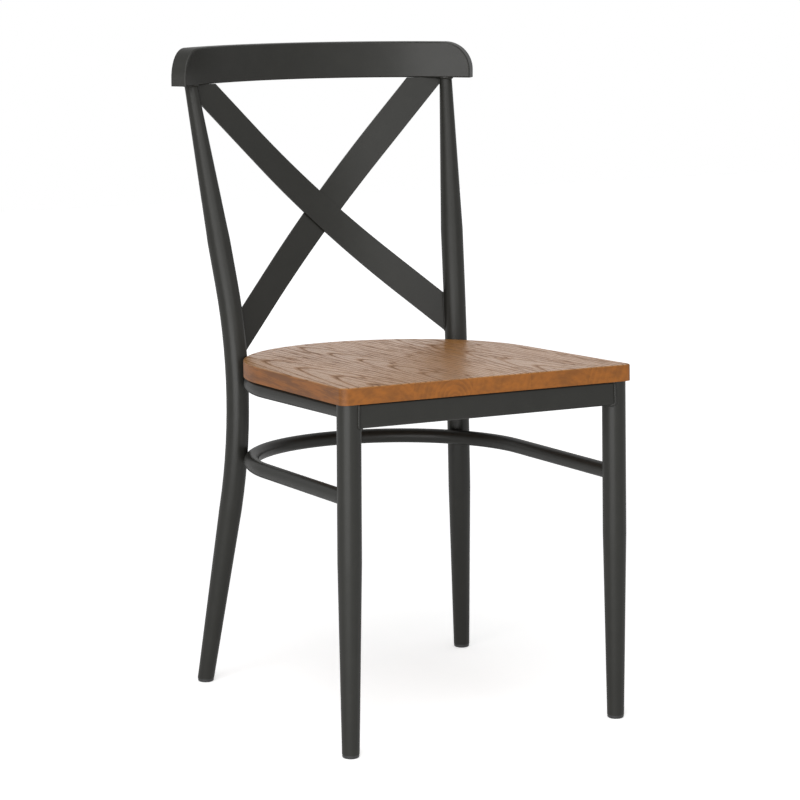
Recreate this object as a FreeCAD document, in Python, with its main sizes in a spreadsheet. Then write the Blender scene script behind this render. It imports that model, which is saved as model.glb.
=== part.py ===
import FreeCAD, Part

import math
import os

import Sketcher

# A rigid dining chair: welded steel tube frame with bent tapered legs, a curved
# hollow top rail, two crossed straps and a seat glued up from wooden staves.
# It faces -Y and stands on z = 0. Left and right are as seen from the front,
# so the right-hand pieces are at +X. The left-hand ones are their mirror images.

Vector = FreeCAD.Vector
Placement = FreeCAD.Placement
Rotation = FreeCAD.Rotation
AXIS_X = Vector(1, 0, 0)
AXIS_Y = Vector(0, 1, 0)
AXIS_Z = Vector(0, 0, 1)

# Two lengths that differ by less than this share of their size count as the same.
CLOSE_SHARE = 0.001

document = FreeCAD.newDocument("DiningChair")
sizes = document.addObject("Spreadsheet::Sheet", "Sizes")

# Lengths in millimetres, angles in degrees.
SIZES = (
    ("seat_front_y", -264.8, "seat: front edge"),
    ("seat_front_z", 437.2, "seat: underside at the front edge"),
    ("seat_tilt", 2.07, "seat: fall towards the back"),
    ("seat_thickness", 21, "seat: thickness"),
    ("seat_side_angle", 1.83, "seat: angle of each side edge to the centre line"),
    ("seat_corner_radius", 9.5, "seat: front corners, in plan"),
    ("seat_edge_round", 2, "seat: rounding of the top edge"),
    ("stave_width", 82, "seat: width of an inner stave"),
    ("stave_joint_x", -25.5, "seat: glue joint between the second and third stave"),
    ("leg_tube_diameter", 30, "legs: outside of the tube"),
    ("leg_foot_diameter", 21.8, "legs: outside of the tapered end at the floor"),
    ("front_taper_length", 241, "front leg: length of the lower taper"),
    ("leg_wall", 1.5, "legs: wall of the tube"),
    ("front_leg_top_x", 187.67, "front leg: axis under the seat"),
    ("front_leg_top_y", -247.5, "front leg: axis under the seat"),
    ("front_leg_foot_x", 190.99, "front leg: axis at the floor"),
    ("front_leg_foot_y", -256.76, "front leg: axis at the floor"),
    ("rear_leg_foot_x", 197.36, "rear leg: axis at the floor"),
    ("rear_leg_foot_y", 156.22, "rear leg: axis at the floor"),
    ("rear_knee_x", 158.57, "rear leg: where the two straight axes would cross"),
    ("rear_knee_y", 100.6, "rear leg: where the two straight axes would cross"),
    ("knee_below_seat", 46.3, "rear leg: where the two straight axes would cross"),
    ("rear_bend_radius", 723, "rear leg: bend radius of the axis"),
    ("rear_bend_lead", 4.7, "rear leg: plain length between the lower taper and the bend"),
    ("upright_top_x", 191.02, "rear leg: axis under the top rail"),
    ("upright_top_y", 195.44, "rear leg: axis under the top rail"),
    ("upright_end_diameter", 16.9, "rear leg: outside of the tapered upper end"),
    ("upright_taper_length", 208.4, "rear leg: length of the upper taper"),
    ("glide_diameter", 21.3, "glide: outside of the foot disc"),
    ("glide_height", 4.5, "glide: height of the foot disc"),
    ("glide_edge_round", 2.2, "glide: rounding of the lower edge"),
    ("glide_plug_length", 14, "glide: length of the plug on the leg's axis"),
    ("rail_tube_diameter", 19.5, "seat ring and stretcher: outside of the tube"),
    ("rail_wall", 1.5, "seat ring and stretcher: wall of the tube"),
    ("weld_seat_depth", 0.3, "seat ring and stretcher: depth of the flat at a rear leg"),
    ("hoop_below_seat", 117.8, "stretcher: axis below the seat's underside, at the front edge"),
    ("hoop_tilt", 1.19, "stretcher: fall towards the back"),
    ("hoop_inset", 1.2, "stretcher: how much its radius is less than the ring's"),
    ("apron_height", 30, "front apron: outside height of the tube"),
    ("apron_depth", 20, "front apron: outside depth of the tube"),
    ("apron_setback", 4, "front apron: front face behind the seat's front edge"),
    ("apron_corner_radius", 3.5, "front apron: outside corners"),
    ("apron_wall", 1.5, "front apron: wall"),
    ("crest_front_y", 247.2, "top rail: front face at the middle"),
    ("crest_above_seat", 356.8, "top rail: underside above the seat's underside at the front"),
    ("crest_inner_radius", 314, "top rail: radius of the front face"),
    ("crest_half_angle", 42.35, "top rail: half the angle it spans"),
    ("crest_thickness", 20.6, "top rail: front to back"),
    ("crest_height", 48.4, "top rail: height"),
    ("crest_end_round", 38, "top rail: upper end corners"),
    ("crest_front_round", 2, "top rail: rounding around the front face"),
    ("crest_wall", 1.5, "top rail: sheet thickness"),
    ("strap_width", 38.95, "straps: width"),
    ("strap_thickness", 3, "straps: thickness"),
    ("strap_cross_y", 194.41, "straps: where they cross, on the faces that touch"),
    ("strap_cross_above_seat", 181.2, "straps: where they cross, above the seat's underside"),
    ("strap_angle", 45.21, "straps: half the angle between the two, around the level line"),
    ("strap_pair_angle", 1.14, "straps: how far the welded pair is turned in its plane"),
    ("strap_bend_radius", 360, "straps: radius of the faces that touch"),
    ("strap_bend_half_angle", 14.68, "straps: half the angle of the curved middle"),
    ("strap_end_inset", 5, "straps: their side ends, inside the uprights' axes"),
    ("tab_length", 34, "seat tab: length from the ring's axis"),
    ("tab_width", 25, "seat tab: width"),
    ("tab_thickness", 3, "seat tab: thickness"),
    ("tab_lap", 5, "seat tab: its outer end, inside the ring's axis"),
    ("tab_front_y", 70, "front seat tab: middle, behind the seat's front edge"),
    ("tab_rear_angle", 25, "rear seat tab: turn around the ring's centre"),
    ("screw_inset", 12, "seat screw: axis from the tab's inner end"),
    ("screw_diameter", 4, "seat screw: shank"),
    ("screw_length", 17, "seat screw: shank"),
    ("screw_head_diameter", 9, "seat screw: head"),
    ("screw_head_height", 2.6, "seat screw: head"),
    ("screw_hole_clearance", 0.3, "seat tab: gap around the screw"),
    ("cut_reach", 700, "cutting shapes: how far they run past the chair"),
)

for row, (alias, number, meaning) in enumerate(SIZES, 1):
    sizes.set(f"A{row}", meaning)
    sizes.set(f"B{row}", str(number))
    sizes.setAlias(f"B{row}", alias)
document.recompute()


def value(amount):
    """The number behind an expression over the sheet, or the number itself."""
    if isinstance(amount, str):
        return float(sizes.evalExpression(amount))
    return float(amount)


def size(alias):
    """One size from the sheet."""
    return float(sizes.get(alias))


def add(kind, name):
    """A new object whose label is its name."""
    made = document.addObject(kind, name)
    made.Label = name
    return made


def set_sizes(target, **amounts):
    """Bind each property to its expression, or set it where it is a plain number."""
    for path, amount in amounts.items():
        if isinstance(amount, str):
            target.setExpression(path, amount)
        else:
            setattr(target, path, amount)


def sketch_on(body, role, name):
    """A sketch on one of the body's own origin planes."""
    sketch = body.newObject("Sketcher::SketchObject", name)
    plane = [item for item in body.Origin.OriginFeatures if item.Role == role][0]
    sketch.AttachmentSupport = [(plane, "")]
    sketch.MapMode = "FlatFace"
    return sketch


def fix_number(sketch, constraint, amount):
    """Add one constraint and bind it to its expression."""
    index = sketch.addConstraint(constraint)
    if isinstance(amount, str):
        sketch.setExpression(f"Constraints[{index}]", amount)


def fix_point(sketch, edge, end, point, kinds=("DistanceX", "DistanceY")):
    """Fix one end of an edge by its coordinates from the sketch's origin."""
    for kind in kinds:
        amount = point[0] if kind == "DistanceX" else point[1]
        limit = Sketcher.Constraint(kind, -1, 1, edge, end, value(amount))
        fix_number(sketch, limit, amount)


def draw(sketch, points, arcs=None, closed=True):
    """Draw edges through the points, in order. An entry in arcs, under the number of
    the edge, makes it an arc: its centre, its radius and its turn, 1 for
    anticlockwise and -1 for clockwise. A level half turn finds its own far end."""
    arcs = arcs or {}
    both = ("DistanceX", "DistanceY")
    fixed = {}
    corners = [Vector(value(x), value(y), 0) for x, y in points]
    count = len(points) if closed else len(points) - 1
    ends = []
    for number in range(count):
        start = corners[number]
        stop = corners[(number + 1) % len(points)]
        if number not in arcs:
            edge = sketch.addGeometry(Part.LineSegment(start, stop), False)
            ends.append((edge, 1, 2))
            continue
        centre, radius, turn = arcs[number]
        middle = Vector(value(centre[0]), value(centre[1]), 0)
        angles = [math.atan2(p.y - middle.y, p.x - middle.x) for p in (start, stop)]
        if turn < 0:
            angles.reverse()
        circle = Part.Circle(middle, AXIS_Z, value(radius))
        edge = sketch.addGeometry(Part.ArcOfCircle(circle, angles[0], angles[1]), False)
        ends.append((edge, 1, 2) if turn > 0 else (edge, 2, 1))
        fix_number(sketch, Sketcher.Constraint("Radius", edge, value(radius)), radius)
        if start.isEqual(middle * 2 - stop, value(radius) * CLOSE_SHARE):
            fix_point(sketch, edge, 3, centre, both[1:])
            fixed[number + 1] = both[1:]
    for number, (edge, first, last) in enumerate(ends):
        fix_point(sketch, edge, first, points[number], fixed.get(number, both))
        if closed or number + 1 < count:
            after, after_first, _ = ends[(number + 1) % count]
            joint = Sketcher.Constraint("Coincident", edge, last, after, after_first)
            sketch.addConstraint(joint)
        else:
            fix_point(sketch, edge, last, points[-1])


def draw_circle(sketch, centre, radius):
    """A full circle fixed by its centre and radius."""
    middle = Vector(value(centre[0]), value(centre[1]), 0)
    edge = sketch.addGeometry(Part.Circle(middle, AXIS_Z, value(radius)), False)
    fix_point(sketch, edge, 3, centre)
    fix_number(sketch, Sketcher.Constraint("Radius", edge, value(radius)), radius)


def pad(body, sketch, length, both_ways=False):
    """Pad a sketch of the body, also to both sides of its plane."""
    feature = body.newObject("PartDesign::Pad", f"{sketch.Name}_pad")
    feature.Profile = sketch
    set_sizes(feature, Length=length)
    if both_ways:
        feature.SideType = "Symmetric"
    sketch.Visibility = False
    return feature


def turn_full(body, sketch):
    """Revolve a sketch of the body once around the sketch's vertical axis."""
    feature = body.newObject("PartDesign::Revolution", f"{sketch.Name}_turned")
    feature.Profile = sketch
    feature.ReferenceAxis = (sketch, ["V_Axis"])
    feature.Angle = 360
    return feature


def swept_rod(name, radius, path, arc, role, offset, start, place):
    """A solid bent rod: a circle carried along line, arc, line."""
    body = add("PartDesign::Body", name)
    spine_role, profile_role = role
    spine = sketch_on(body, spine_role, f"{name}_path")
    draw(spine, path, {1: arc}, closed=False)
    profile = sketch_on(body, profile_role, f"{name}_profile")
    profile.AttachmentOffset = Placement(Vector(0, 0, offset), Rotation())
    draw_circle(profile, start, radius)
    document.recompute()
    sweep = body.newObject("PartDesign::AdditivePipe", f"{name}_sweep")
    sweep.Profile = profile
    sweep.Spine = (spine, ["Edge1", "Edge2", "Edge3"])
    body.Placement = place
    return body


def cut(name, base, tool):
    """The base less the tool."""
    made = add("Part::Cut", name)
    made.Base = base
    made.Tool = tool
    return made


def common(name, base, tool):
    """What the base and the tool share."""
    made = add("Part::Common", name)
    made.Base = base
    made.Tool = tool
    return made


def fuse(name, shapes):
    """Several touching solids as one."""
    made = add("Part::MultiFuse", name)
    made.Shapes = shapes
    made.Refine = True
    return made


def group(name, links):
    """Several separate solids as one object."""
    made = add("Part::Compound", name)
    made.Links = links
    return made


def mirror(name, source):
    """The same piece on the other side of the chair."""
    made = add("Part::Mirroring", name)
    made.Source = source
    made.Normal = AXIS_X
    made.Base = Vector(0, 0, 0)
    return made


def block(name, low, high, place=None):
    """A box between two corners, in the frame of a placement."""
    made = add("Part::Box", name)
    made.Length = high[0] - low[0]
    made.Width = high[1] - low[1]
    made.Height = high[2] - low[2]
    made.Placement = (place or Placement()) * Placement(Vector(*low), Rotation())
    return made


def cone(name, lower, upper, height, place):
    """A length of tapered rod along its placement's Z axis."""
    made = add("Part::Cone", name)
    set_sizes(made, Radius1=lower, Radius2=upper, Height=height)
    made.Placement = place
    return made


def cylinder(name, radius, height, place):
    """A length of plain rod along its placement's Z axis."""
    made = add("Part::Cylinder", name)
    set_sizes(made, Radius=radius, Height=height)
    made.Placement = place
    return made


def along_z(distance):
    """A move along the local Z axis."""
    return Placement(Vector(0, 0, distance), Rotation())


def standing(foot, up, outward):
    """A frame at a point with Z along one direction and X nearest to another."""
    return Placement(foot, Rotation(outward, up.cross(outward), up, "ZXY"))


LEG_RADIUS = "Sizes.leg_tube_diameter / 2"
FOOT_RADIUS = "Sizes.leg_foot_diameter / 2"
UPRIGHT_END_RADIUS = "Sizes.upright_end_diameter / 2"
RAIL_RADIUS = "Sizes.rail_tube_diameter / 2"
reach = size("cut_reach")

# The seat's underside is a plane that falls towards the back. Everything that
# touches it is built in this frame, with its origin on the seat's front edge.
seat_z = size("seat_front_z")
crest_z = seat_z + size("crest_above_seat")
seat_origin = Vector(0, size("seat_front_y"), seat_z)
seat_frame = Placement(seat_origin, Rotation(AXIS_X, -size("seat_tilt")))
hoop_z = seat_z - size("hoop_below_seat")
hoop_origin = Vector(0, size("seat_front_y"), hoop_z)
hoop_frame = Placement(hoop_origin, Rotation(AXIS_X, -size("hoop_tilt")))
ring_frame = seat_frame * along_z(-value(RAIL_RADIUS))

above_glides = block(
    "space_for_legs",
    (-reach, -reach, size("glide_height")),
    (reach, reach, crest_z),
)
under_seat = block("space_under_seat", (-reach, -reach, -reach), (reach, reach, 0), seat_frame)

# Front leg: straight, splayed tube, tapered towards the foot.
front_foot = Vector(size("front_leg_foot_x"), size("front_leg_foot_y"), 0)
front_top = Vector(size("front_leg_top_x"), size("front_leg_top_y"), seat_z)
front_direction = (front_top - front_foot).normalize()
front_frame = standing(front_foot, front_direction, AXIS_X)
front_length = front_top.distanceToPoint(front_foot) + size("leg_tube_diameter")


def front_rod(name, less):
    """The front leg as a solid, thinner by the given wall."""
    taper = cone(
        f"{name}_taper",
        FOOT_RADIUS + less,
        LEG_RADIUS + less,
        "Sizes.front_taper_length",
        front_frame,
    )
    straight_place = front_frame * along_z(size("front_taper_length"))
    straight_length = front_length - size("front_taper_length")
    straight = cylinder(f"{name}_straight", LEG_RADIUS + less, straight_length, straight_place)
    return fuse(name, [taper, straight])


LEG_WALL_OFF = " - Sizes.leg_wall"
front_leg_solid = front_rod("front_leg_solid", "")
front_leg_core = front_rod("front_leg_core", LEG_WALL_OFF)
front_leg_tube = cut("front_leg_tube", front_leg_solid, front_leg_core)
front_leg_footed = common("front_leg_footed", front_leg_tube, above_glides)
front_leg_right = common("front_leg_right", front_leg_footed, under_seat)
mirror("front_leg_left", front_leg_right)

# Rear leg and back upright: one bent tube, tapered at both ends. Its frame has Z
# along the lower straight and X towards the side that the tube bends to.
rear_foot = Vector(size("rear_leg_foot_x"), size("rear_leg_foot_y"), 0)
rear_knee = Vector(size("rear_knee_x"), size("rear_knee_y"), seat_z - size("knee_below_seat"))
rear_top = Vector(size("upright_top_x"), size("upright_top_y"), crest_z)
lower_direction = (rear_knee - rear_foot).normalize()
upper_direction = (rear_top - rear_knee).normalize()
bend_angle = lower_direction.getAngle(upper_direction)
bend_side = (upper_direction - lower_direction * lower_direction.dot(upper_direction)).normalize()
rear_frame = standing(rear_foot, lower_direction, bend_side)
bend_radius = size("rear_bend_radius")
bend_tangent = bend_radius * math.tan(bend_angle / 2)
bend_start = rear_knee.distanceToPoint(rear_foot) - bend_tangent
bend_exit = (
    bend_radius * (1 - math.cos(bend_angle)),
    bend_start + bend_radius * math.sin(bend_angle),
)
upper_straight = (
    rear_top.distanceToPoint(rear_knee) - bend_tangent - size("upright_taper_length")
)
upper_start = (
    bend_exit[0] + upper_straight * math.sin(bend_angle),
    bend_exit[1] + upper_straight * math.cos(bend_angle),
)
taper_end = bend_start - size("rear_bend_lead")
taper_turn = Rotation(AXIS_Y, math.degrees(bend_angle))
upright_frame = rear_frame * Placement(Vector(upper_start[0], 0, upper_start[1]), taper_turn)
upright_slope = (value(UPRIGHT_END_RADIUS) - value(LEG_RADIUS)) / size("upright_taper_length")
upright_spare = size("leg_tube_diameter")


def rear_rod(name, less):
    """The rear leg as a solid, thinner by the given wall. It runs on past the
    underside of the top rail, where it is then cut level."""
    lower = cone(
        f"{name}_lower_taper",
        FOOT_RADIUS + less,
        LEG_RADIUS + less,
        taper_end,
        rear_frame,
    )
    path = ((0, taper_end), (0, bend_start), bend_exit, upper_start)
    arc = ((bend_radius, bend_start), "Sizes.rear_bend_radius", -1)
    middle = swept_rod(
        f"{name}_bend",
        LEG_RADIUS + less,
        path,
        arc,
        ("XZ_Plane", "XY_Plane"),
        taper_end,
        (0, 0),
        rear_frame,
    )
    upper = cone(
        f"{name}_upper_taper",
        LEG_RADIUS + less,
        value(UPRIGHT_END_RADIUS + less) + upright_slope * upright_spare,
        size("upright_taper_length") + upright_spare,
        upright_frame,
    )
    return fuse(name, [lower, middle, upper])


rear_leg_solid = rear_rod("rear_leg_solid", "")
rear_leg_core = rear_rod("rear_leg_core", LEG_WALL_OFF)
rear_leg_tube = cut("rear_leg_tube", rear_leg_solid, rear_leg_core)
rear_leg_right = common("rear_leg_right", rear_leg_tube, above_glides)
mirror("rear_leg_left", rear_leg_right)

leg_solids = group(
    "leg_solids",
    [
        front_leg_solid,
        mirror("front_leg_solid_left", front_leg_solid),
        rear_leg_solid,
        mirror("rear_leg_solid_left", rear_leg_solid),
    ],
)


def axis_at_bend(turned):
    """The point of the rear leg's axis where its bend has turned by an angle."""
    across = bend_radius * (1 - math.cos(turned))
    along = bend_start + bend_radius * math.sin(turned)
    return rear_frame.multVec(Vector(across, 0, along))


def rear_crossing(frame):
    """Where the rear leg's axis crosses a frame's level plane, in that frame."""
    low = 0.0
    high = bend_angle
    inverse = frame.inverse()
    for _ in range(50):
        middle = (low + high) / 2
        if inverse.multVec(axis_at_bend(middle)).z < 0:
            low = middle
        else:
            high = middle
    return inverse.multVec(axis_at_bend(low))


def front_crossing(frame):
    """Where the front leg's axis crosses a frame's level plane, in that frame."""
    inverse = frame.inverse()
    foot = inverse.multVec(front_foot)
    top = inverse.multVec(front_top)
    return foot + (top - foot) * (foot.z / (foot.z - top.z))


def hoop_centre(frame, radius):
    """The middle of the half circle that lets a bent rail just reach both rear legs."""
    leg = rear_crossing(frame)
    apart = radius + value(LEG_RADIUS) + value(RAIL_RADIUS) - size("weld_seat_depth")
    return leg.y - math.sqrt(apart * apart - leg.x * leg.x)


def bent_rail(name, frame, radius):
    """A tube bent to a U in a frame's level plane, between the front legs. Gives
    back the same rail as a solid rod."""
    start_y = front_crossing(frame).y
    centre_y = hoop_centre(frame, value(radius))
    side = value(radius)
    path = ((side, start_y), (side, centre_y), (-side, centre_y), (-side, start_y))
    arc = ((0, centre_y), radius, 1)
    rods = []
    for part, less in (("solid", ""), ("core", " - Sizes.rail_wall")):
        rod = swept_rod(
            f"{name}_{part}",
            RAIL_RADIUS + less,
            path,
            arc,
            ("XY_Plane", "XZ_Plane"),
            -start_y,
            (side, 0),
            frame,
        )
        rods.append(rod)
    tube = cut(f"{name}_tube", rods[0], rods[1])
    cut(name, tube, leg_solids)
    return rods[0]


# Seat ring and stretcher hoop: round tubes bent to a U, their ends shaped to the
# front legs, with a small flat where they are welded to the rear legs.
RING_RADIUS = "Sizes.front_leg_top_x"
HOOP_RADIUS = "Sizes.front_leg_top_x - Sizes.hoop_inset"
ring_solid = bent_rail("seat_ring", ring_frame, RING_RADIUS)
bent_rail("stretcher_hoop", hoop_frame, HOOP_RADIUS)
ring_centre_y = hoop_centre(ring_frame, value(RING_RADIUS))


def rounded_rectangle(sketch, low, high, radius):
    """A rectangle with four equal rounded corners."""
    (left, bottom), (right, top) = low, high
    round_off = value(radius)
    points = (
        (left + round_off, bottom),
        (right - round_off, bottom),
        (right, bottom + round_off),
        (right, top - round_off),
        (right - round_off, top),
        (left + round_off, top),
        (left, top - round_off),
        (left, bottom + round_off),
    )
    centres = (
        (right - round_off, bottom + round_off),
        (right - round_off, top - round_off),
        (left + round_off, top - round_off),
        (left + round_off, bottom + round_off),
    )
    arcs = {1 + 2 * number: (centre, radius, 1) for number, centre in enumerate(centres)}
    draw(sketch, points, arcs)


# Front apron: rectangular tube under the seat's front edge, its ends shaped to the legs.
apron_bar = add("PartDesign::Body", "apron_bar")
apron_section = sketch_on(apron_bar, "YZ_Plane", "apron_section")
apron_low = (size("apron_setback"), -size("apron_height"))
apron_high = (size("apron_setback") + size("apron_depth"), 0)
apron_wall = size("apron_wall")
rounded_rectangle(apron_section, apron_low, apron_high, "Sizes.apron_corner_radius")
rounded_rectangle(
    apron_section,
    (apron_low[0] + apron_wall, apron_low[1] + apron_wall),
    (apron_high[0] - apron_wall, apron_high[1] - apron_wall),
    "Sizes.apron_corner_radius - Sizes.apron_wall",
)
pad(apron_bar, apron_section, "2 * Sizes.front_leg_top_x", both_ways=True)
apron_bar.Placement = seat_frame
cut("front_apron", apron_bar, leg_solids)


def edges_where(feature, test):
    """The names of a feature's edges that pass a test."""
    names = []
    for number, edge in enumerate(feature.Shape.Edges, 1):
        if test(edge):
            names.append(f"Edge{number}")
    return names


def fillet(body, feature, test, radius):
    """Round the edges of a feature that pass a test."""
    document.recompute()
    names = edges_where(feature, test)
    made = body.newObject("PartDesign::Fillet", f"{feature.Name}_fillet")
    made.Base = (feature, names)
    set_sizes(made, Radius=radius)
    return made


# Top rail: a curved band with level top and bottom, and large upper end corners.
CREST_OUTER_RADIUS = "Sizes.crest_inner_radius + Sizes.crest_thickness"
crest_axis_y = size("crest_front_y") - size("crest_inner_radius")
crest_frame = Placement(Vector(0, crest_axis_y, crest_z), Rotation())


def curved_band(name, inner, outer, half_angle, height, corner, place):
    """An upright band between two radii, its upper end corners rounded off."""
    body = add("PartDesign::Body", name)
    sketch = sketch_on(body, "XY_Plane", f"{name}_plan")
    angle = math.radians(half_angle)
    inner_end = (value(inner) * math.sin(angle), value(inner) * math.cos(angle))
    outer_end = (value(outer) * math.sin(angle), value(outer) * math.cos(angle))
    points = (
        outer_end,
        (-outer_end[0], outer_end[1]),
        (-inner_end[0], inner_end[1]),
        inner_end,
    )
    draw(sketch, points, {0: ((0, 0), outer, 1), 2: ((0, 0), inner, -1)})
    band = pad(body, sketch, height)
    top = value(height)

    def at_upper_end(edge):
        level = all(abs(vertex.Z - top) < top * CLOSE_SHARE for vertex in edge.Vertexes)
        return level and edge.Curve.TypeId == "Part::GeomLine"

    rounded = fillet(body, band, at_upper_end, corner)
    body.Placement = place
    return body, rounded


crest_block, crest_ends = curved_band(
    "crest_block",
    "Sizes.crest_inner_radius",
    CREST_OUTER_RADIUS,
    size("crest_half_angle"),
    "Sizes.crest_height",
    "Sizes.crest_end_round",
    crest_frame,
)
crest_inner_radius = size("crest_inner_radius")


def on_front_face(edge):
    """Whether an edge lies in the top rail's front face."""
    near = crest_inner_radius * CLOSE_SHARE
    middle = edge.valueAt((edge.FirstParameter + edge.LastParameter) / 2)
    points = [vertex.Point for vertex in edge.Vertexes] + [middle]
    return all(abs(math.hypot(p.x, p.y) - crest_inner_radius) < near for p in points)


fillet(crest_block, crest_ends, on_front_face, "Sizes.crest_front_round")

crest_wall = size("crest_wall")
cavity_angle = size("crest_half_angle") - math.degrees(crest_wall / crest_inner_radius)
crest_cavity, _ = curved_band(
    "crest_cavity",
    "Sizes.crest_inner_radius + Sizes.crest_wall",
    CREST_OUTER_RADIUS,
    cavity_angle,
    "Sizes.crest_height - 2 * Sizes.crest_wall",
    "Sizes.crest_end_round - Sizes.crest_wall",
    crest_frame * along_z(crest_wall),
)
cut("crest_front_shell", crest_block, crest_cavity)
plate_inside = cylinder(
    "plate_inside",
    f"{CREST_OUTER_RADIUS} - Sizes.crest_wall",
    "Sizes.crest_height",
    crest_frame,
)
cut("crest_back_plate", crest_cavity, plate_inside)

# Straps: flat bars bent around a cylinder that leans back as the uprights do.
# Their frame has X to the right, Y up the lean and Z towards the front.
strap_origin = Vector(0, size("strap_cross_y"), seat_z + size("strap_cross_above_seat"))
strap_turn = Rotation(AXIS_X, math.degrees(math.atan2(upper_direction.z, upper_direction.y)))
strap_frame = Placement(strap_origin, strap_turn)
strap_bend = size("strap_bend_radius")
bend_half = math.radians(size("strap_bend_half_angle"))


def strap_sheet(name, near, far):
    """A sheet between two radii, with straight tails, in the straps' frame."""
    body = add("PartDesign::Body", name)
    sketch = sketch_on(body, "XZ_Plane", f"{name}_section")
    tail = size("front_leg_top_x")

    def bend_end(radius, side):
        across = side * value(radius) * math.sin(bend_half)
        return across, strap_bend - value(radius) * math.cos(bend_half)

    def tail_end(radius, side):
        across, forward = bend_end(radius, side)
        return (
            across + side * tail * math.cos(bend_half),
            forward + tail * math.sin(bend_half),
        )

    points = (
        bend_end(far, -1),
        bend_end(far, 1),
        tail_end(far, 1),
        tail_end(near, 1),
        bend_end(near, 1),
        bend_end(near, -1),
        tail_end(near, -1),
        tail_end(far, -1),
    )
    centre = (0, "Sizes.strap_bend_radius")
    draw(sketch, points, {0: (centre, far, 1), 4: (centre, near, -1)})
    pad(body, sketch, "Sizes.cut_reach", both_ways=True)
    body.Placement = strap_frame
    return body


def strap_strip(name, angle):
    """The straight strip, in the face of the sheet, that a strap is cut from."""
    half = size("strap_width") / 2
    place = strap_frame * Placement(Vector(0, 0, 0), Rotation(AXIS_Z, angle))
    return block(name, (-reach, -half, -reach), (reach, half, reach), place)


# A strap ends on the uprights and under the top rail: nothing of it is left
# beyond the upright or above the rail's underside.
beyond_frame = standing(rear_knee, upper_direction, AXIS_X)
beyond_right = block(
    "space_beyond_upright",
    (-size("strap_end_inset"), -reach, -reach),
    (reach, reach, reach),
    beyond_frame,
)
above_rail = block(
    "space_above_rail",
    (-reach, -reach, crest_z),
    (reach, reach, crest_z + reach),
)
strap_ends = group(
    "strap_ends", [beyond_right, mirror("space_beyond_left", beyond_right), above_rail]
)


def strap(name, near, far, angle):
    """One strap, trimmed at both ends."""
    sheet = strap_sheet(f"{name}_sheet", near, far)
    strip = strap_strip(f"{name}_strip", angle)
    bar = common(f"{name}_bar", sheet, strip)
    for number, trim in enumerate(strap_ends.Links):
        bar = cut(f"{name}_trim_{number}", bar, trim)
    cut(name, bar, leg_solids)


STRAP_NEAR = "Sizes.strap_bend_radius - Sizes.strap_thickness"
STRAP_FACE = "Sizes.strap_bend_radius"
STRAP_FAR = "Sizes.strap_bend_radius + Sizes.strap_thickness"
front_strap_angle = size("strap_pair_angle") - size("strap_angle")
rear_strap_angle = size("strap_pair_angle") + size("strap_angle")
strap("back_strap_front", STRAP_NEAR, STRAP_FACE, front_strap_angle)
strap("back_strap_rear", STRAP_FACE, STRAP_FAR, rear_strap_angle)

# Seat: one outline, with a half-round back over the ring and tapered sides.
seat_back_radius = f"{RING_RADIUS} + {RAIL_RADIUS}"
seat_radius = value(seat_back_radius)
side_taper = math.radians(size("seat_side_angle"))
corner_radius = size("seat_corner_radius")
side_x = seat_radius * math.cos(side_taper)
side_y = ring_centre_y + seat_radius * math.sin(side_taper)
shoulder = seat_radius / math.sqrt(2)
front_half_width = (seat_radius + ring_centre_y * math.sin(side_taper)) / math.cos(side_taper)
corner_reach = corner_radius / math.tan((math.pi / 2 - side_taper) / 2)
corner_start_x = front_half_width - corner_reach
corner_end = (
    front_half_width - corner_reach * math.sin(side_taper),
    corner_reach * math.cos(side_taper),
)
seat_blank = add("PartDesign::Body", "seat_blank")
seat_plan = sketch_on(seat_blank, "XY_Plane", "seat_plan")
draw(
    seat_plan,
    (
        (-corner_start_x, 0),
        (corner_start_x, 0),
        corner_end,
        (side_x, side_y),
        (shoulder, ring_centre_y + shoulder),
        (-shoulder, ring_centre_y + shoulder),
        (-side_x, side_y),
        (-corner_end[0], corner_end[1]),
    ),
    {
        1: ((corner_start_x, corner_radius), "Sizes.seat_corner_radius", 1),
        3: ((0, ring_centre_y), seat_back_radius, 1),
        4: ((0, ring_centre_y), seat_back_radius, 1),
        5: ((0, ring_centre_y), seat_back_radius, 1),
        7: ((-corner_start_x, corner_radius), "Sizes.seat_corner_radius", 1),
    },
)
seat_pad = pad(seat_blank, seat_plan, "Sizes.seat_thickness")
seat_top = size("seat_thickness")


def on_seat_top(edge):
    """Whether an edge lies in the seat's top face."""
    near = seat_top * CLOSE_SHARE
    return all(abs(vertex.Z - seat_top) < near for vertex in edge.Vertexes)


fillet(seat_blank, seat_pad, on_seat_top, "Sizes.seat_edge_round")
seat_blank.Placement = seat_frame

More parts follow.
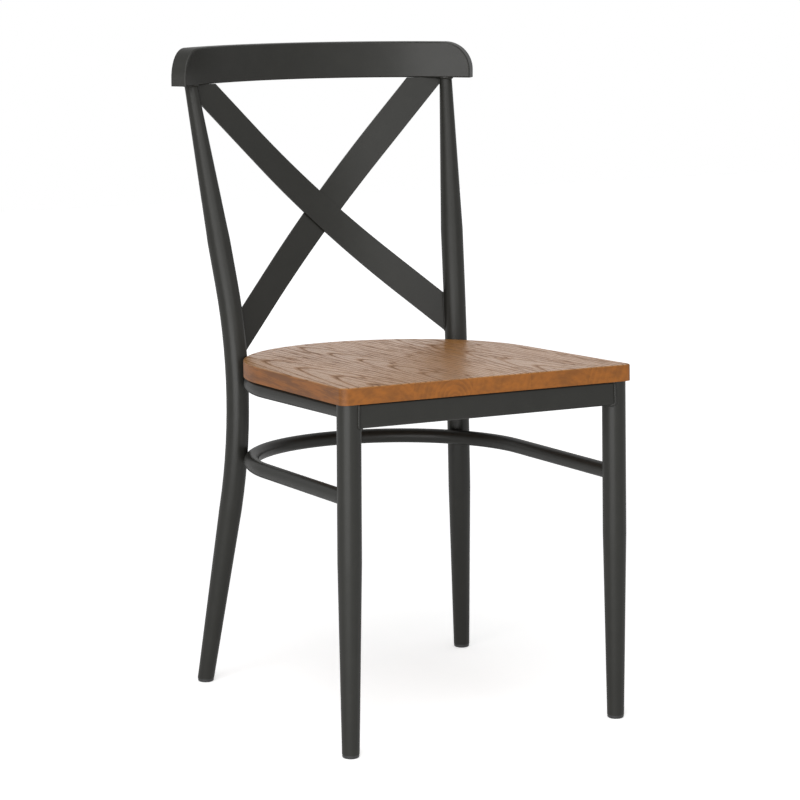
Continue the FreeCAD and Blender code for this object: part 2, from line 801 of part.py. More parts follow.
# Seat tabs: small plates welded inside the ring, each with a screw up into the seat.
tab_frames = {
    "front": seat_frame * Placement(Vector(0, size("tab_front_y"), 0), Rotation()),
    "rear": seat_frame
    * Placement(Vector(0, ring_centre_y, 0), Rotation(AXIS_Z, size("tab_rear_angle"))),
}
tab_outer_x = value(RING_RADIUS) - size("tab_lap")
tab_inner_x = value(RING_RADIUS) - size("tab_length")
tab_half = size("tab_width") / 2
screw_x = tab_inner_x + size("screw_inset")
screws = []
for row, frame in tab_frames.items():
    plate = block(
        f"tab_plate_{row}",
        (tab_inner_x, -tab_half, -size("tab_thickness")),
        (tab_outer_x, tab_half, 0),
        frame,
    )
    screw_frame = frame * Placement(Vector(screw_x, 0, -size("tab_thickness")), Rotation())
    hole = cylinder(
        f"tab_hole_{row}",
        "Sizes.screw_diameter / 2 + Sizes.screw_hole_clearance",
        "Sizes.tab_thickness",
        screw_frame,
    )
    shank = cylinder(
        f"screw_shank_{row}", "Sizes.screw_diameter / 2", "Sizes.screw_length", screw_frame
    )
    head = cylinder(
        f"screw_head_{row}",
        "Sizes.screw_head_diameter / 2",
        "Sizes.screw_head_height",
        screw_frame * along_z(-size("screw_head_height")),
    )
    screw = fuse(f"screw_{row}", [shank, head])
    screws.append(screw)
    screws.append(mirror(f"screw_{row}_left", screw))
    drilled = cut(f"tab_drilled_{row}", plate, hole)
    tab = cut(f"seat_tab_{row}_right", drilled, ring_solid)
    mirror(f"seat_tab_{row}_left", tab)
seat_screws = group("seat_screws", screws)

# Staves: the outline sawn along the glue joints, with the screws' pilot holes.
joint = size("stave_joint_x")
stave = size("stave_width")
joints = [-reach, joint - stave, joint, joint + stave, joint + 2 * stave, reach]
for number in range(5):
    strip = block(
        f"stave_strip_{number + 1}",
        (joints[number], -reach, -reach),
        (joints[number + 1], reach, reach),
        seat_frame,
    )
    board = common(f"stave_board_{number + 1}", seat_blank, strip)
    cut(f"seat_stave_{number + 1}", board, seat_screws)

# Glides: a disc flat on the floor with a plug on the leg's axis.
glide_radius = size("glide_diameter") / 2
glide_round = size("glide_edge_round")


def glide_disc(name, place):
    """The foot disc of a glide, its lower edge rounded."""
    body = add("PartDesign::Body", name)
    section = sketch_on(body, "XZ_Plane", f"{name}_section")
    points = (
        (0, 0),
        (glide_radius - glide_round, 0),
        ("Sizes.glide_diameter / 2", glide_round),
        ("Sizes.glide_diameter / 2", "Sizes.glide_height"),
        (0, "Sizes.glide_height"),
    )
    centre = (glide_radius - glide_round, glide_round)
    draw(section, points, {1: (centre, "Sizes.glide_edge_round", 1)})
    turn_full(body, section)
    body.Placement = place
    return body


for row, frame, direction in (
    ("front", front_frame, front_direction),
    ("rear", rear_frame, lower_direction),
):
    mouth = size("glide_height") / direction.z
    plug = cylinder(
        f"glide_plug_{row}",
        FOOT_RADIUS + LEG_WALL_OFF,
        "Sizes.glide_plug_length",
        frame * along_z(mouth / 2),
    )
    centre = frame.multVec(Vector(0, 0, mouth))
    disc = glide_disc(f"glide_disc_{row}", Placement(Vector(centre.x, centre.y, 0), Rotation()))
    glide = fuse(f"glide_{row}_right", [disc, plug])
    mirror(f"glide_{row}_left", glide)

NODES = (
    "rear_leg_left",
    "rear_leg_right",
    "front_leg_left",
    "front_leg_right",
    "seat_ring",
    "stretcher_hoop",
    "front_apron",
    "crest_front_shell",
    "crest_back_plate",
    "back_strap_front",
    "back_strap_rear",
    "seat_tab_front_left",
    "seat_tab_front_right",
    "seat_tab_rear_left",
    "seat_tab_rear_right",
    "seat_stave_1",
    "seat_stave_2",
    "seat_stave_3",
    "seat_stave_4",
    "seat_stave_5",
    "seat_screws",
    "glide_front_left",
    "glide_front_right",
    "glide_rear_left",
    "glide_rear_right",
)
document.recompute()

for item in document.Objects:
    if "Invalid" in item.State or "Error" in item.State:
        raise RuntimeError(f"{item.Label} failed: {item.State}")
for node in NODES:
    shape = document.getObject(node).Shape
    if shape.isNull() or not shape.isValid() or not shape.Solids:
        raise RuntimeError(f"{node} is not a valid solid")

os.makedirs("parts", exist_ok=True)
for node in NODES:
    document.getObject(node).Shape.exportStep(f"parts/{node}.step")
    solids = document.getObject(node).Shape.Solids
    print(node, len(solids), round(sum(solid.Volume for solid in solids)))
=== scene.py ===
"""The looks of a dining chair with a steel frame and a wooden seat: the finishes of its
solids, the weld beads, the floor, the lamps and the camera."""

import math
import random

import bmesh
import bpy
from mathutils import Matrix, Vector
from mathutils.bvhtree import BVHTree


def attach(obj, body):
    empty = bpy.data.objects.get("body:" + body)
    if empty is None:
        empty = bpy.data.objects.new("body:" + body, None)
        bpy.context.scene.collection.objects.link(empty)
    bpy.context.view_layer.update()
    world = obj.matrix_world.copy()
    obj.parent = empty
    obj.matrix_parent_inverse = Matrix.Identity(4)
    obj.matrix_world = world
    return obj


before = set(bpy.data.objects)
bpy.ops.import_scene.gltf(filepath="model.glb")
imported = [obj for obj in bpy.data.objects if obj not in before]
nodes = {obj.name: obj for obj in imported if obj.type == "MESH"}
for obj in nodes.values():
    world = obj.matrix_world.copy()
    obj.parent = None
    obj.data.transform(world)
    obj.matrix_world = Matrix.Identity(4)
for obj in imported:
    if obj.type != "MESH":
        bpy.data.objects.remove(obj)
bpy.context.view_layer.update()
random.seed(7)

MM = 0.001
BODY = "root"
SIDES = ("left", "right")
CORNERS = ("front_left", "front_right", "rear_left", "rear_right")
STRAPS = ("back_strap_front", "back_strap_rear")
FRAME_NODES = (
    *[f"{row}_leg_{side}" for row in ("rear", "front") for side in SIDES],
    *[f"seat_tab_{corner}" for corner in CORNERS],
    *STRAPS,
    "seat_ring",
    "stretcher_hoop",
    "front_apron",
    "crest_front_shell",
    "crest_back_plate",
)

# The seat as the solids have it: the middle of the underside's front edge, the
# thickness, and how far it falls to the back.
SEAT_FRONT = Vector((0, -264.8, 437.2)) * MM
SEAT_THICKNESS = 21 * MM
SEAT_TILT = math.radians(2.07)
SEAT_TOP_LEVEL = SEAT_FRONT.z + SEAT_THICKNESS

# The camera: the point that it looks at, its side and height around that point, its
# distance, how far it sees, and its lens. The side is measured from the chair's front,
# and is negative towards -X.
VIEW_TARGET = Vector((-24.83, -74.37, 402.39)) * MM
VIEW_AZIMUTH = math.radians(-28.25)
VIEW_ELEVATION = math.radians(9.57)
VIEW_DISTANCE = 3772.13 * MM
VIEW_REACH = 50
LENS_PIXELS = 2949.15
PICTURE_PIXELS = 800
SENSOR_WIDTH = 36.0

# Patterns of noise have their cells per metre and their detail. A stretch under 1 draws
# the cells out. A span is the noise at which a pattern starts to show and at which it
# shows in full, a share is how much of it shows then, a tone is what it multiplies the
# colour by, and a least is what it leaves of the lines that it breaks.
NOISE_MIDDLE = 0.5

# Powder coat. Its sheen comes from the coat layer alone.
STEEL_COLOUR = (0.0165, 0.0164, 0.0142)
CLOUDS = {"scale": 7, "detail": 3}
CLOUD_TONES = (0.85, 1.15)
PATCHES = {"scale": 45, "detail": 3}
PATCH_SPAN = (0.35, 0.75)
PATCH_SHARE = 0.35
PATCH_TONE = 1.3
PATCH_ROUGHNESS = (0.3, 0.38)
FLECKS = {"scale": 700, "detail": 1}
FLECK_SPAN = (0.66, 0.8)
FLECK_SHARE = 0.5
FLECK_TONE = 1.9
FLECK_HEIGHT_SHARE = 0.3
PEEL = {"scale": 1100, "detail": 1}
PEEL_STRENGTH = 0.1
PEEL_DEPTH = 0.2 * MM
COAT_WEIGHT = 0.46
COAT_ROUGHNESS = 0.34
COAT_IOR = 1.5

# Stained wood, with its grain along Y. A strand runs where its noise crosses the middle,
# and its span is how far the noise is off the middle.
# The top's colour is painted lighter than the edges', as if lit more from above. The
# edges' colour is darker, partly from their own grain and partly as painted shade.
WOOD_TOP_LIT = (0.355, 0.16, 0.04)
WOOD_EDGE_GRAIN_AND_SHADE = (0.228, 0.074, 0.006)
WOOD_DEEP = (0.066, 0.022, 0.006)
WANDER = {"scale": 11, "detail": 2, "roughness": 0.45, "stretch": (1, 0.16, 1)}
WANDER_REACH = 16 * MM
RIPPLE = {"scale": 75, "detail": 2, "roughness": 0.55, "stretch": (1, 0.16, 1)}
RIPPLE_SHARE = 0.3
BROAD = {"scale": 10, "detail": 3, "stretch": (1, 0.25, 1)}
BROAD_TONES = (1.16, 0.82)
BLOTCH = {"scale": 62, "detail": 4, "roughness": 0.6, "stretch": (1, 0.2, 1.6)}
FADE = {"scale": 38, "detail": 2, "stretch": (1, 0.12, 1)}
FADE_SPAN = (0.3, 0.55)
FADE_LEAST = 0.55
STRAND = {"scale": 95, "detail": 2, "stretch": (1, 0.025, 1)}
STRAND_SPAN = (0.003, 0.026)
STRAND_SHARE = 0.75
FIBRE = {"scale": 620, "detail": 3, "roughness": 0.65, "stretch": (1, 0.035, 1)}
FIBRE_SPAN = (0.40, 0.62)
FIBRE_LEAST = 0.7
HAIR = {"scale": 1700, "detail": 2, "roughness": 0.6, "stretch": (1, 0.035, 1)}
HAIR_SPAN = (0.5, 0.68)

# Along one growth ring, how plainly its open pores and its late wood show, and what
# the late wood does to the top.
POROUS_STOPS = ((0, 0.5), (0.05, 1), (0.15, 0.5), (0.27, 0), (0.95, 0), (1, 0.5))
LATE_STOPS = ((0, 0), (0.35, 0), (0.8, 1), (1, 0.6))
LATE_SHARE = 0.25
LATE_TONE = 0.74

# How far a face has to turn up to count as the top, and sideways to count as a long
# side. The rest counts as the front edge. Besides their grain, the top is painted lighter
# and the long sides darker, as light and shade.
TOP_SPAN = (0.3, 0.8)
SIDE_SPAN = (0.2, 0.9)

# The edges: blotches and paler arcs on the front one, blotches and fibres on the long
# sides, which are also painted darker than the front as shade.
FRONT_BLOTCH_SPAN = (0.3, 0.7)
FRONT_TONES = (0.72, 1.12)
ARC_SPAN = (0.35, 0.65)
ARC_SHARES = (0.1, 0.42)
ARC_TONE = 1.5
SIDE_BLOTCH_SPAN = (0.3, 0.58)
SIDE_FIBRE_SHARE = -0.12
# The long sides' tones sit below the front's: painted shade.
SIDE_BLOTCH_AND_SHADE_TONES = (0.5, 0.92)

# Fine pores and dark grooves: what is left of them on the edges, how much they darken
# the wood, and how rough and how deep they are.
EDGE_PORE_SHARE = 0.15
EDGE_GROOVE_SHARE = 0.1
PORE_SHARE = 0.5
PORE_TONE = 1.3
PORE_ROUGHNESS = 0.14
PORE_DEPTH_SHARE = 0.35
GROOVE_SHARE = 0.9
GROOVE_ROUGHNESS = 0.45
GRAIN_STRENGTH = 0.5
GRAIN_DEPTH = 0.4 * MM
TOP_ROUGHNESS = 0.29
EDGE_ROUGHNESS = 0.59
WOOD_SPECULAR = 0.42

# Screws and foot plugs: their finish, and what clouds do to its tone, its roughness and
# its surface.
SCREW_STEEL = {
    "colour": (0.5, 0.5, 0.48),
    "roughness": 0.3,
    "metallic": 1.0,
    "clouds": {"scale": 300, "detail": 3},
}
GLIDE_PLASTIC = {
    "colour": (0.012, 0.012, 0.012),
    "roughness": 0.4,
    "metallic": 0.0,
    "clouds": {"scale": 400, "detail": 3},
}
PLAIN_TONES = (0.75, 1.25)
PLAIN_ROUGHENING = 0.12
PLAIN_STRENGTH = 0.1
PLAIN_DEPTH = 0.1 * MM

# For each stave: the pith's place, depth, rise and taper, the ring spacing, the tint,
# how plainly the edges show the rings, and a number that makes its grain its own.
STAVES = (
    ((-0.155, 0.050, 0.02, 0.09), 0.0072, 1.0, 0.3, 1.3),
    ((-0.053, 0.045, 0.084, 0.02), 0.0056, 0.96, 1.0, 4.1),
    ((0.140, 0.060, 0.05, 0.04), 0.0070, 1.03, 0.6, 7.7),
    ((0.098, 0.046, 0.01, 0.10), 0.0068, 0.97, 0.4, 2.9),
    ((0.30, 0.070, 0.06, 0.03), 0.0078, 1.04, 0.7, 9.4),
)

# Weld beads: each row is a piece, what it is welded to, and the bead's radius. Ripples
# change that radius by a share of it, and chance by a smaller share.
WELDS = (
    *[("stretcher_hoop", f"front_leg_{side}", 1.4 * MM) for side in SIDES],
    *[("seat_ring", f"front_leg_{side}", 1.4 * MM) for side in SIDES],
    *[("front_apron", f"front_leg_{side}", 2.1 * MM) for side in SIDES],
    *[(f"rear_leg_{side}", "crest_front_shell", 2.2 * MM) for side in SIDES],
    *[(strap, f"rear_leg_{side}", 1.1 * MM) for strap in STRAPS for side in SIDES],
)
WELD_STEP = 0.6 * MM
WELD_RIPPLE = 2.9 * MM
WELD_SWELL_SHARE = 0.09
WELD_CHANCE_SHARE = 0.03
WELD_SIDES = 12
WELD_SMOOTHINGS = 3
CONTACT = 0.5 * MM
SAME_POINT = 0.01 * MM
SHARP_ANGLE = math.radians(25)

# The floor and the room. The floor's glow grows from the chair outwards.
FLOOR_HALF = 6.0
FLOOR_GAP = 0.2 * MM
FLOOR_COLOUR = (0.9, 0.9, 0.9, 1)
FLOOR_ROUGHNESS = 0.9
GLOW_START = 0.8
GLOW_END = 2.8
GLOW_NEAR = 0.55
GLOW_FAR = 0.85
WORLD_LEVEL = 0.2

# Soft boxes: name, azimuth and elevation in degrees, width and height in metres, and
# how bright each alone shows a white face turned to it.
LAMPS = (
    ("key", -46, 50, 2.0, 1.6, 0.34),
    ("side", -46, 15, 2.6, 1.2, 0.32),
    ("low", -46, -4, 2.6, 0.5, 0.34),
    ("fill", -2, 22, 1.8, 1.4, 0.17),
    ("top", 0, 80, 2.2, 2.2, 0.28),
)
LAMP_DISTANCE = 3.0
LAMP_TARGET = Vector((0, 0, 0.5))


def shaded(colour, factor):
    """A colour made darker or lighter, with its alpha."""
    return (*[part * factor for part in colour], 1)


def shades(colour, factors, tint=1):
    """A colour shaded by each of the factors, and by a tint that they share."""
    return [shaded(colour, tint * factor) for factor in factors]


class Shading:
    """A short way to write the nodes of a material or a world."""

    def __init__(self, tree):
        self.tree = tree

    def add(self, kind, inputs=None, **settings):
        """A node with its settings, and its sockets set or linked."""
        node = self.tree.nodes.new(kind)
        for key, setting in settings.items():
            setattr(node, key, setting)
        for key, given in (inputs or {}).items():
            self.put(node, key, given)
        return node

    def put(self, node, key, given):
        """Set one input of a node, or link it to another node's output."""
        socket = node.inputs[key]
        if isinstance(given, bpy.types.NodeSocket):
            self.tree.links.new(given, socket)
        else:
            socket.default_value = given

    def finish(self, **settings):
        """Set or link the main shader's own sockets."""
        for key, given in settings.items():
            self.put(self.tree.nodes["Principled BSDF"], key.replace("_", " "), given)

    def math(self, operation, first, second=0.0, third=0.0):
        """One arithmetic step."""
        inputs = {0: first, 1: second, 2: third}
        return self.add("ShaderNodeMath", inputs, operation=operation).outputs[0]

    def between(self, share, low, high):
        """The value at a share of the way from a low one to a high one."""
        return self.math("MULTIPLY_ADD", share, high - low, low)

    def mix(self, share, first, second):
        """Two colours mixed."""
        inputs = {0: share, 6: first, 7: second}
        return self.add("ShaderNodeMix", inputs, data_type="RGBA").outputs[2]

    def axes(self, vector):
        """The three parts of a vector."""
        return self.add("ShaderNodeSeparateXYZ", {0: vector}).outputs

    def place(self, stretch=(1, 1, 1), shift=(0, 0, 0)):
        """The point on the object, in metres, stretched and moved."""
        source = self.add("ShaderNodeTexCoord").outputs["Object"]
        inputs = {"Vector": source, "Location": shift, "Scale": stretch}
        return self.add("ShaderNodeMapping", inputs).outputs[0]

    def noise(self, scale, detail, roughness=0.5, stretch=(1, 1, 1), shift=(0, 0, 0)):
        """Smooth noise on the object, from 0 to 1, mostly near the middle."""
        inputs = {
            "Vector": self.place(stretch, shift),
            "Scale": scale,
            "Detail": detail,
            "Roughness": roughness,
        }
        return self.add("ShaderNodeTexNoise", inputs).outputs["Fac"]

    def span(self, given, low, high, to_low=0.0, to_high=1.0):
        """A value carried from one range to another, with smooth ends."""
        inputs = {
            "Value": given,
            "From Min": low,
            "From Max": high,
            "To Min": to_low,
            "To Max": to_high,
        }
        settings = {"interpolation_type": "SMOOTHSTEP"}
        return self.add("ShaderNodeMapRange", inputs, **settings).outputs[0]

    def steps(self, share, stops):
        """A value turned into grey by stops."""
        node = self.add("ShaderNodeValToRGB", {"Fac": share})
        elements = node.color_ramp.elements
        while len(elements) < len(stops):
            elements.new(0.5)
        for element, (position, grey) in zip(elements, stops):
            element.position = position
            element.color = (grey, grey, grey, 1)
        return node.outputs["Color"]

    def bump(self, height, strength, distance):
        """A surface normal from a height."""
        inputs = {"Height": height, "Strength": strength, "Distance": distance}
        return self.add("ShaderNodeBump", inputs).outputs["Normal"]

    def seen(self):
        """1 for what the camera sees, also in reflections and through glass, else 0."""
        path = self.add("ShaderNodeLightPath").outputs
        seen = self.math("MAXIMUM", path["Is Camera Ray"], path["Is Glossy Ray"])
        return self.math("MAXIMUM", seen, path["Is Transmission Ray"])


def new_material(name):
    """A material, and the way to write its nodes."""
    material = bpy.data.materials.new(name)
    material.use_nodes = True
    return material, Shading(material.node_tree)


def painted_steel(name, colour):
    """Satin powder coat: fine orange peel, slight clouds of tone, and fine dust
    specks."""
    material, made = new_material(name)
    patch = made.noise(**PATCHES)
    fleck = made.span(made.noise(**FLECKS), *FLECK_SPAN, 0, FLECK_SHARE)
    patched = made.span(patch, *PATCH_SPAN, 0, PATCH_SHARE)
    tone = made.mix(made.noise(**CLOUDS), *shades(colour, CLOUD_TONES))
    tone = made.mix(patched, tone, shaded(colour, PATCH_TONE))
    tone = made.mix(fleck, tone, shaded(colour, FLECK_TONE))
    height = made.math("MULTIPLY_ADD", fleck, FLECK_HEIGHT_SHARE, made.noise(**PEEL))
    skin = made.bump(height, PEEL_STRENGTH, PEEL_DEPTH)
    made.finish(
        Base_Color=tone,
        Roughness=made.between(patch, *PATCH_ROUGHNESS),
        Specular_IOR_Level=0.0,
        Coat_Weight=COAT_WEIGHT,
        Coat_IOR=COAT_IOR,
        Coat_Roughness=COAT_ROUGHNESS,
        Coat_Normal=skin,
        Normal=skin,
    )
    return material


def growth_ring(made, pith, spacing, seed):
    """How far a point lies into its growth ring, from 0 to 1. The rings run around a
    pith line that lies under the board and leans along it, and they narrow towards the
    back, so that the top shows pointed loops and the front edge shows arcs. pith holds
    the line's sideways place and its depth under the level of the top's front edge, in
    metres, how much it rises towards the front, and how much the rings narrow."""
    pith_x, depth, rise, taper = pith
    x, y, z = made.axes(made.place())
    shift = (seed, seed * 0.37, 0)
    wander = made.math("SUBTRACT", made.noise(**WANDER, shift=shift), NOISE_MIDDLE)
    ripple = made.math("SUBTRACT", made.noise(**RIPPLE, shift=shift), NOISE_MIDDLE)
    across = made.math("SUBTRACT", x, pith_x)
    across = made.math("MULTIPLY_ADD", wander, WANDER_REACH, across)
    above = made.math("SUBTRACT", z, SEAT_TOP_LEVEL - depth)
    above = made.math("MULTIPLY_ADD", y, rise, above)
    square = made.math("MULTIPLY", across, across)
    square = made.math("MULTIPLY_ADD", above, above, square)
    radius = made.math("SQRT", square)
    radius = made.math("MULTIPLY_ADD", ripple, spacing * RIPPLE_SHARE, radius)
    radius = made.math("MULTIPLY_ADD", y, taper, radius)
    return made.math("FRACT", made.math("DIVIDE", radius, spacing))


def dark_lines(made, ring, streak, seed):
    """How plainly the wood's dark lines show: the open pores of each ring, broken by
    the fibres and faded here and there, and long thin strands."""
    line = made.steps(ring, POROUS_STOPS)
    line = made.math("MULTIPLY", line, made.between(streak, FIBRE_LEAST, 1))
    faded = made.span(made.noise(**FADE, shift=(seed, seed, 0)), *FADE_SPAN)
    line = made.math("MULTIPLY", line, made.between(faded, FADE_LEAST, 1))
    course = made.noise(**STRAND, shift=(seed * 0.7, 0, seed))
    off_course = made.math("SUBTRACT", course, NOISE_MIDDLE)
    off_course = made.math("ABSOLUTE", off_course)
    strand = made.span(off_course, *STRAND_SPAN, STRAND_SHARE, 0)
    return made.math("MAXIMUM", line, strand)


def top_tone(made, broad, late, tint):
    """The colour of the seat's top without its dark lines, painted lighter than the edges
    as if lit more from above.
    """
    tone = made.mix(broad, *shades(WOOD_TOP_LIT, BROAD_TONES, tint))
    late = made.math("MULTIPLY", late, LATE_SHARE)
    return made.mix(late, tone, shaded(WOOD_TOP_LIT, tint * LATE_TONE))


def front_edge_tone(made, broad, late, blotch, tint, arched):
    """The colour of sawn end grain: blotches, and paler arcs. It is darker than the top,
    partly as end grain and partly as painted shade.
    """
    blotched = made.span(blotch, *FRONT_BLOTCH_SPAN)
    tone = made.mix(blotched, *shades(WOOD_EDGE_GRAIN_AND_SHADE, FRONT_TONES, tint))
    arcs = made.math("MULTIPLY", late, made.span(broad, *ARC_SPAN, *ARC_SHARES))
    arcs = made.math("MULTIPLY", arcs, arched)
    return made.mix(arcs, tone, shaded(WOOD_EDGE_GRAIN_AND_SHADE, tint * ARC_TONE))


def side_edge_tone(made, blotch, streak, tint):
    """The colour of the long sides: blotches broken by the fibres, all painted darker
    than the front edge as shade.
    """
    blotch = made.math("MULTIPLY_ADD", streak, SIDE_FIBRE_SHARE, blotch)
    blotched = made.span(blotch, *SIDE_BLOTCH_SPAN)
    return made.mix(blotched, *shades(WOOD_EDGE_GRAIN_AND_SHADE, SIDE_BLOTCH_AND_SHADE_TONES, tint))


def stained_wood(name, pith, spacing, tint, arched, seed):
    """Brown-stained open-grained wood. tint makes a board lighter or darker, arched is
    how plainly its edges show the rings, and seed makes its grain its own."""
    material, made = new_material(name)
    sideways, _, upward = made.axes(made.add("ShaderNodeTexCoord").outputs["Normal"])
    top = made.span(upward, *TOP_SPAN)
    long_side = made.span(made.math("ABSOLUTE", sideways), *SIDE_SPAN)

    ring = growth_ring(made, pith, spacing, seed)
    late = made.steps(ring, LATE_STOPS)
    broad = made.noise(**BROAD, shift=(0, seed, 0))
    blotch = made.noise(**BLOTCH, shift=(seed, seed, seed))
    streak = made.span(made.noise(**FIBRE, shift=(seed, 0, seed)), *FIBRE_SPAN)
    hair = made.span(made.noise(**HAIR, shift=(seed, 0, seed)), *HAIR_SPAN)
    pores = made.math("MULTIPLY", hair, made.between(top, EDGE_PORE_SHARE, 1))
    groove_share = made.span(top, 0, 1, EDGE_GROOVE_SHARE * arched, 1)
    groove = made.math("MULTIPLY", dark_lines(made, ring, streak, seed), groove_share)

    front_edge = front_edge_tone(made, broad, late, blotch, tint, arched)
    # The edges get their partly painted darker colour, and the top its painted lighter
    # one.
    edge = made.mix(long_side, front_edge, side_edge_tone(made, blotch, streak, tint))
    tone = made.mix(top, edge, top_tone(made, broad, late, tint))
    dark_pores = made.math("MULTIPLY", pores, PORE_SHARE)
    tone = made.mix(dark_pores, tone, shaded(WOOD_DEEP, tint * PORE_TONE))
    dark_groove = made.math("MULTIPLY", groove, GROOVE_SHARE)
    tone = made.mix(dark_groove, tone, shaded(WOOD_DEEP, tint))

    dull = made.math("MULTIPLY", groove, GROOVE_ROUGHNESS)
    dull = made.math("MULTIPLY_ADD", pores, PORE_ROUGHNESS, dull)
    roughness = made.math("ADD", made.between(top, EDGE_ROUGHNESS, TOP_ROUGHNESS), dull)
    height = made.math("MULTIPLY", groove, -1)
    height = made.math("MULTIPLY_ADD", pores, -PORE_DEPTH_SHARE, height)
    made.finish(
        Base_Color=tone,
        Roughness=roughness,
        Specular_IOR_Level=WOOD_SPECULAR,
        Normal=made.bump(height, GRAIN_STRENGTH, GRAIN_DEPTH),
    )
    return material


def plain_finish(name, colour, roughness, metallic, clouds):
    """Moulded plastic or plated steel: one colour with small changes of tone and
    roughness."""
    material, made = new_material(name)
    cloud = made.noise(**clouds)
    made.finish(
        Base_Color=made.mix(cloud, *shades(colour, PLAIN_TONES)),
        Roughness=made.between(cloud, roughness, roughness + PLAIN_ROUGHENING),
        Metallic=metallic,
        Normal=made.bump(cloud, PLAIN_STRENGTH, PLAIN_DEPTH),
    )
    return material


def dress(material, *names):
    """Give CAD nodes a material."""
    for name in names:
        slots = nodes[name].material_slots
        for slot in slots:
            slot.material = material
        if not slots:
            nodes[name].data.materials.append(material)


def dress_solids(steel):
    """Give every CAD node its finish."""
    dress(steel, *FRAME_NODES)
    for number, (pith, spacing, tint, arched, seed) in enumerate(STAVES, 1):
        wood = stained_wood(f"seat_wood_{number}", pith, spacing, tint, arched, seed)
        dress(wood, f"seat_stave_{number}")
    dress(plain_finish("screw_steel", **SCREW_STEEL), "seat_screws")
    plastic = plain_finish("glide_plastic", **GLIDE_PLASTIC)
    dress(plastic, *[f"glide_{corner}" for corner in CORNERS])


def contact_edges(mesh, other):
    """For each vertex of a mesh's sharp edges that lie on the skin of a CAD node, the
    vertices at the other ends of those edges."""
    target = bmesh.new()
    target.from_mesh(nodes[other].data)
    tree = BVHTree.FromBMesh(target)
    target.free()
    near = {v for v in mesh.verts if (tree.find_nearest(v.co)[3] or 0) < CONTACT}
    links = {}
    for edge in mesh.edges:
        first, second = edge.verts
        if first in near and second in near and edge.calc_face_angle(0) > SHARP_ANGLE:
            links.setdefault(first, []).append(second)
            links.setdefault(second, []).append(first)
    return links


def joint_lines(piece, other):
    """The sharp edges of one CAD node that lie on the skin of another, chained into
    lines of points. A line that closes ends with its first point."""
    mesh = bmesh.new()
    mesh.from_mesh(nodes[piece].data)
    bmesh.ops.remove_doubles(mesh, verts=mesh.verts, dist=SAME_POINT)
    links = contact_edges(mesh, other)
    lines = []
    while links:
        start = min(links, key=lambda v: (len(links[v]) != 1, v.index))
        line = [start]
        while links.get(line[-1]):
            after = links[line[-1]].pop()
            links[after].remove(line[-1])
            line.append(after)
        for vertex in line:
            if not links.get(vertex):
                links.pop(vertex, None)
        if len(line) > 1:
            lines.append([vertex.co.copy() for vertex in line])
    mesh.free()
    return lines


def line_length(line):
    """The length of a line of points."""
    return sum((a - b).length for a, b in zip(line, line[1:]))


def room_under_seat(point):
    """How far a point lies under the plane of the seat's underside."""
    fall = math.tan(SEAT_TILT) * (point.y - SEAT_FRONT.y)
    return SEAT_FRONT.z - fall - point.z


def below_seat(line, radius):
    """A line of points. Where it is a loop and a bead on it would run into the seat,
    it is cut open there."""
    if line[0] != line[-1] or line[0].z > SEAT_TOP_LEVEL:
        return line
    loop = line[:-1]
    free = [room_under_seat(point) > radius for point in loop]
    if all(free):
        return line
    starts = [number for number, fits in enumerate(free) if fits and not free[number - 1]]
    turned = loop[starts[0]:] + loop[:starts[0]]
    return [point for point in turned if room_under_seat(point) > radius]


def evenly(line, step):
    """Evenly spaced points along a line of points, both its ends among them."""
    count = max(2, round(line_length(line) / step))
    stride = line_length(line) / count
    points = [line[0].copy()]
    walked = 0.0
    for start, stop in zip(line, line[1:]):
        span = (stop - start).length
        while len(points) < count and len(points) * stride <= walked + span:
            share = (len(points) * stride - walked) / span
            points.append(start.lerp(stop, share))
        walked += span
    points.append(line[-1].copy())
    return points


def neighbours(points, number, closed):
    """The points before and after one of a line. A closed line goes around, and an
    open one stays at its ends."""
    last = len(points) - 1
    if closed:
        return points[(number - 1) % last], points[(number + 1) % last]
    return points[max(number - 1, 0)], points[min(number + 1, last)]


def smoothed(points, closed):
    """The points, each moved towards the middle of its neighbours. The ends of an open
    line stay."""
    moved = []
    for number, point in enumerate(points):
        before, after = neighbours(points, number, closed)
        moved.append((before + point * 2 + after) / 4)
    if not closed:
        moved[0] = points[0]
        moved[-1] = points[-1]
    return moved


def bead_rings(points, closed, radius):
    """Rings of points around a bead's course, which swell and shrink along it."""
    rings = []
    across = None
    for number, point in enumerate(points):
        before, after = neighbours(points, number, closed)
        along = (after - before).normalized()
        start = along.orthogonal() if across is None else across
        across = (start - along * start.dot(along)).normalized()
        upward = along.cross(across)
        phase = 2 * math.pi * number * WELD_STEP / WELD_RIPPLE
        chance = random.uniform(-WELD_CHANCE_SHARE, WELD_CHANCE_SHARE)
        wide = radius * (1 + WELD_SWELL_SHARE * math.cos(phase) + chance)
        ring = []
        for side in range(WELD_SIDES):
            turn = 2 * math.pi * side / WELD_SIDES
            offset = across * (math.cos(turn) * wide) + upward * (math.sin(turn) * wide)
            ring.append(point + offset)
        rings.append(ring)
    return rings[:-1] if closed else rings


def bead_mesh(name, rings, closed):
    """A skin over a bead's rings, joined to a loop or with flat ends."""
    mesh = bmesh.new()
    rings = [[mesh.verts.new(point) for point in ring] for ring in rings]
    following = rings[1:] + rings[:1] if closed else rings[1:]
    for ring, after in zip(rings, following):
        shift = 0
        if after is rings[0]:
            gaps = [(ring[0].co - vertex.co).length for vertex in after]
            shift = gaps.index(min(gaps))
        for side in range(WELD_SIDES):
            other_side = (side + 1) % WELD_SIDES
            low = after[(side + shift) % WELD_SIDES]
            high = after[(other_side + shift) % WELD_SIDES]
            mesh.faces.new((ring[side], ring[other_side], high, low))
    if not closed:
        mesh.faces.new(rings[0])
        mesh.faces.new(rings[-1])
    bmesh.ops.recalc_face_normals(mesh, faces=mesh.faces)
    data = bpy.data.meshes.new(name)
    mesh.to_mesh(data)
    mesh.free()
    data.polygons.foreach_set("use_smooth", [True] * len(data.polygons))
    return data


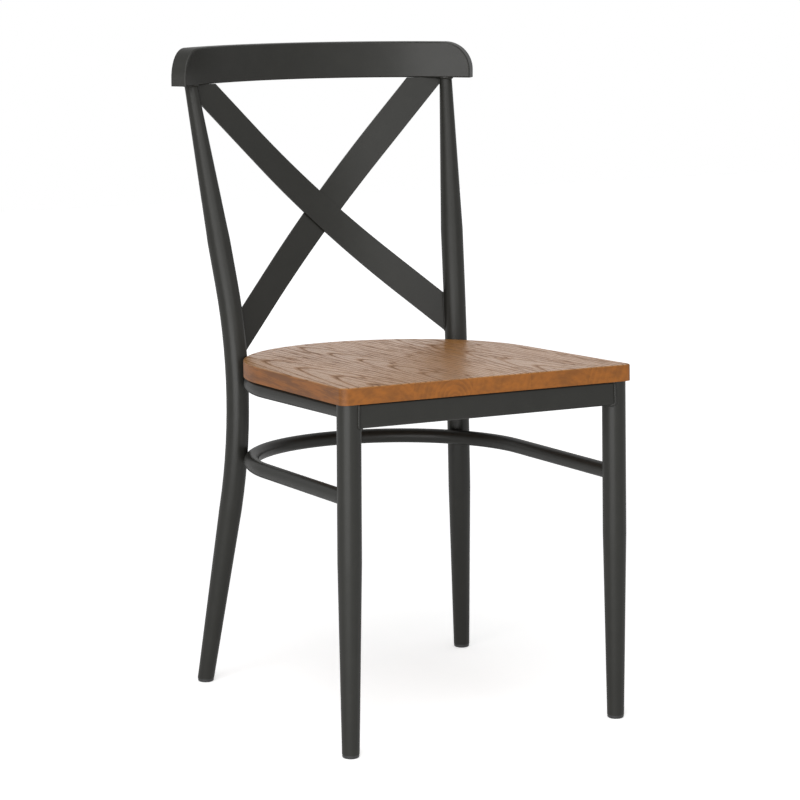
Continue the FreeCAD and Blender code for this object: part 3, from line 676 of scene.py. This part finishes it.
def weld_bead(piece, other, radius, steel):
    """A rippled bead along the longest line where one node ends on another."""
    longest = sorted(joint_lines(piece, other), key=line_length)[-1]
    line = below_seat(longest, radius)
    closed = line[0] == line[-1]
    points = evenly(line, WELD_STEP)
    for _ in range(WELD_SMOOTHINGS):
        points = smoothed(points, closed)
    rings = bead_rings(points, closed, radius)
    data = bead_mesh(f"weld_{piece}_{other}", rings, closed)
    data.materials.append(steel)
    bead = bpy.data.objects.new(data.name, data)
    bpy.context.collection.objects.link(bead)
    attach(bead, BODY)


def view_direction(azimuth, elevation):
    """The direction from the chair to the camera or a lamp. The azimuth is measured
    from the chair's front, and is negative towards -X."""
    level = math.cos(elevation)
    x = math.sin(azimuth) * level
    y = -math.cos(azimuth) * level
    return Vector((x, y, math.sin(elevation)))


def make_camera():
    """The camera at the photograph's viewing angle."""
    data = bpy.data.cameras.new("camera")
    data.sensor_width = SENSOR_WIDTH
    data.lens = SENSOR_WIDTH * (LENS_PIXELS / PICTURE_PIXELS)
    data.clip_end = VIEW_REACH
    camera = bpy.data.objects.new("camera", data)
    back = view_direction(VIEW_AZIMUTH, VIEW_ELEVATION)
    camera.location = VIEW_TARGET + back * VIEW_DISTANCE
    camera.rotation_euler = back.to_track_quat("Z", "Y").to_euler()
    bpy.context.collection.objects.link(camera)
    bpy.context.scene.camera = camera


def make_floor():
    """A wide pale floor. To the camera and in reflections it glows up to white
    around the chair's soft shadow, more where the lamps light it less."""
    material, made = new_material("floor_pale")
    made.finish(Base_Color=FLOOR_COLOUR, Roughness=FLOOR_ROUGHNESS)
    distance = made.add("ShaderNodeVectorMath", {0: made.place()}, operation="LENGTH")
    level = made.span(distance.outputs["Value"], GLOW_START, GLOW_END, GLOW_NEAR, GLOW_FAR)
    glow = {"Strength": made.math("MULTIPLY", made.seen(), level)}
    lit = made.tree.nodes["Principled BSDF"].outputs[0]
    both = {0: lit, 1: made.add("ShaderNodeEmission", glow).outputs[0]}
    surface = made.add("ShaderNodeAddShader", both).outputs[0]
    made.put(made.tree.nodes["Material Output"], "Surface", surface)

    mesh = bpy.data.meshes.new("floor")
    corners = ((-1, -1), (1, -1), (1, 1), (-1, 1))
    vertices = [(x * FLOOR_HALF, y * FLOOR_HALF, -FLOOR_GAP) for x, y in corners]
    mesh.from_pydata(vertices, [], [(0, 1, 2, 3)])
    mesh.materials.append(material)
    floor = bpy.data.objects.new("floor", mesh)
    bpy.context.collection.objects.link(floor)


def make_world():
    """A white surround for the camera and in reflections, and a soft grey light."""
    world = bpy.data.worlds.new("studio")
    bpy.context.scene.world = world
    world.use_nodes = True
    made = Shading(world.node_tree)
    background = made.tree.nodes["Background"]
    made.put(background, "Color", (1, 1, 1, 1))
    made.put(background, "Strength", made.between(made.seen(), WORLD_LEVEL, 1))


def soft_box(name, azimuth, elevation, width, height, level):
    """A soft box that points at the chair's middle."""
    data = bpy.data.lights.new(name, "AREA")
    data.shape = "RECTANGLE"
    data.size = width
    data.size_y = height
    data.energy = level * (math.pi * LAMP_DISTANCE) ** 2
    lamp = bpy.data.objects.new(name, data)
    away = view_direction(math.radians(azimuth), math.radians(elevation))
    lamp.location = LAMP_TARGET + away * LAMP_DISTANCE
    lamp.rotation_euler = away.to_track_quat("Z", "Y").to_euler()
    bpy.context.collection.objects.link(lamp)


paint = painted_steel("frame_paint", STEEL_COLOUR)
dress_solids(paint)
for weld in WELDS:
    weld_bead(*weld, paint)

make_camera()
make_floor()
make_world()
for lamp_settings in LAMPS:
    soft_box(*lamp_settings)
bpy.context.scene.view_settings.view_transform = "Standard"
